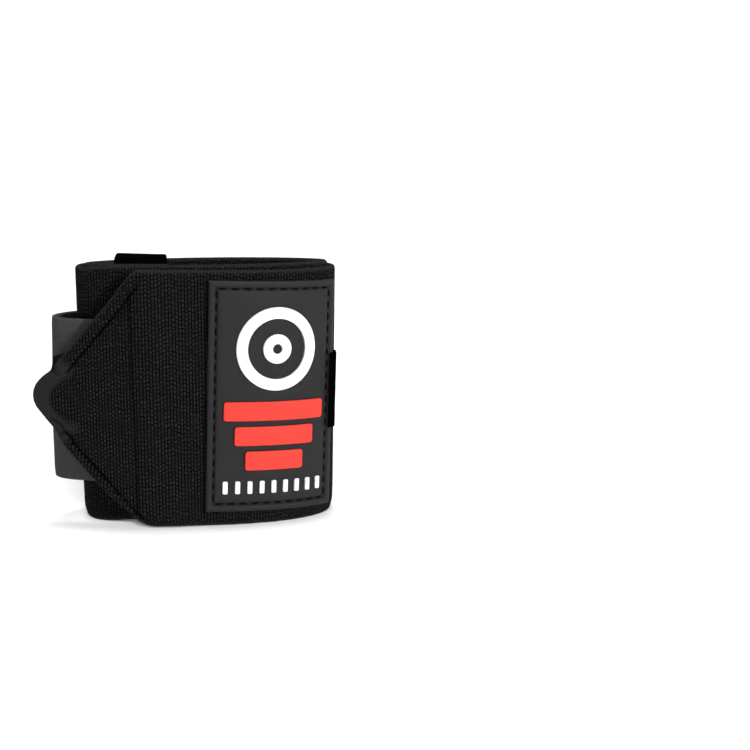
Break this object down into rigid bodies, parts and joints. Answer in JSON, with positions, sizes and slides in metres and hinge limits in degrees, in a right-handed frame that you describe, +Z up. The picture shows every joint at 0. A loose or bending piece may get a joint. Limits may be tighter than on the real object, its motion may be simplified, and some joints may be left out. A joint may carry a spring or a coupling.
{
  "type": "wrist wrap",
  "caption": "Elastic wrist wrap rolled up on itself, with a pointed end over a grey hook tape, a folded thumb loop and a raised rubber label; it stands on its lower edge.",
  "frame": {"origin": "under the middle of the rolled wrap's box, on the surface that it stands on", "axes": "+Z up along the band's width and the axis of the roll, +X along the roll's long side towards the label, -Y towards the front with the label and the pointed end"},
  "size_m": [0.0948, 0.0438, 0.084],
  "materials": {
    "elastic": "woven elastic, black, matt, ribbed across the band",
    "hook_tape": "grey woven tape, matt, fine diagonal texture",
    "loop_ribbon": "thin black woven ribbon, matt",
    "label_rubber": "dark grey moulded soft rubber, satin",
    "label_white": "white moulded soft rubber, satin",
    "label_red": "red moulded soft rubber, satin",
    "tag_ribbon": "black woven tag, matt"
  },
  "bodies": {
    "root": {"elastic_band": "elastic", "hook_tape": "hook_tape", "thumb_loop": "loop_ribbon", "label_patch": "label_rubber", "side_tag": "tag_ribbon", "label_tick_1": "label_white", "label_tick_2": "label_white", "label_tick_3": "label_white", "label_tick_4": "label_white", "label_tick_5": "label_white", "label_tick_6": "label_white", "label_tick_7": "label_white", "label_tick_8": "label_white", "label_tick_9": "label_white", "label_plate_rim": "label_white", "label_plate_hub": "label_white", "label_bar_1": "label_red", "label_bar_2": "label_red", "label_bar_3": "label_red"}
  },
  "joints": []
}
